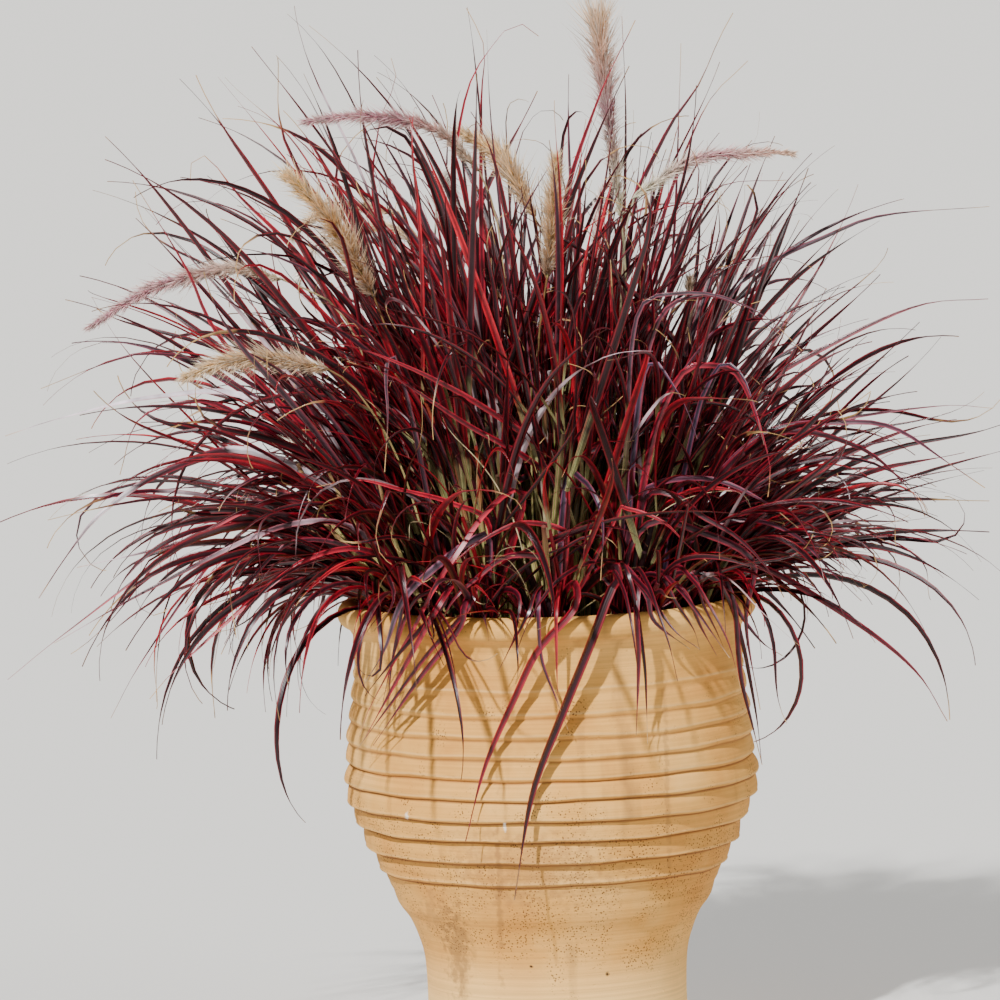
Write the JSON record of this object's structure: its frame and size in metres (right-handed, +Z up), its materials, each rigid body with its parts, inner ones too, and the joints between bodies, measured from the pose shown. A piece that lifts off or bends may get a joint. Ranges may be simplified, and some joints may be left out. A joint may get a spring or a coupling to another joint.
{
  "type": "potted fountain grass clump",
  "caption": "Burgundy fountain grass with foxtail flower spikes, arching out of a ridged terracotta pot that stands on its flat base.",
  "frame": {"origin": "centre of the pot's flat base, where it stands", "axes": "+Z up along the pot's turning axis, -Y towards the front that the picture shows, +X to its right"},
  "size_m": [1.1223, 1.0508, 1.1357],
  "materials": {
    "terracotta": "unglazed buff terracotta, thrown and ridged, dusty, with mineral stains near the foot",
    "potting_soil": "dark crumbly potting compost under dry leaf litter",
    "leaf": "burgundy grass blades with red margins, half glossy, with dry tan tips",
    "flower_spike": "bristly foxtail spikes, tan to rose, on thin stalks"
  },
  "bodies": {
    "root": {"pot": "terracotta", "soil": "potting_soil", "leaf_tuft_01": "leaf", "leaf_tuft_02": "leaf", "leaf_tuft_03": "leaf", "leaf_tuft_04": "leaf", "leaf_tuft_05": "leaf", "leaf_tuft_06": "leaf", "leaf_tuft_07": "leaf", "leaf_tuft_08": "leaf", "leaf_tuft_09": "leaf", "leaf_tuft_10": "leaf", "leaf_tuft_11": "leaf", "leaf_tuft_12": "leaf", "leaf_tuft_13": "leaf", "leaf_tuft_14": "leaf", "leaf_tuft_15": "leaf", "leaf_tuft_16": "leaf", "leaf_tuft_17": "leaf", "leaf_tuft_18": "leaf", "leaf_tuft_19": "leaf", "leaf_tuft_20": "leaf", "leaf_tuft_21": "leaf", "leaf_tuft_22": "leaf", "leaf_tuft_23": "leaf", "leaf_tuft_24": "leaf", "leaf_tuft_25": "leaf", "leaf_tuft_26": "leaf", "leaf_tuft_27": "leaf", "leaf_tuft_28": "leaf", "leaf_tuft_29": "leaf", "leaf_tuft_30": "leaf", "leaf_tuft_31": "leaf", "leaf_tuft_32": "leaf", "leaf_tuft_33": "leaf", "leaf_tuft_34": "leaf", "leaf_tuft_35": "leaf", "flower_stem_01": "flower_spike", "flower_stem_02": "flower_spike", "flower_stem_03": "flower_spike", "flower_stem_04": "flower_spike", "flower_stem_05": "flower_spike", "flower_stem_06": "flower_spike", "flower_stem_07": "flower_spike", "flower_stem_08": "flower_spike", "flower_stem_09": "flower_spike", "flower_stem_10": "flower_spike", "flower_stem_11": "flower_spike", "flower_stem_12": "flower_spike", "flower_stem_13": "flower_spike", "flower_stem_14": "flower_spike", "flower_stem_15": "flower_spike", "flower_stem_16": "flower_spike"}
  },
  "joints": []
}
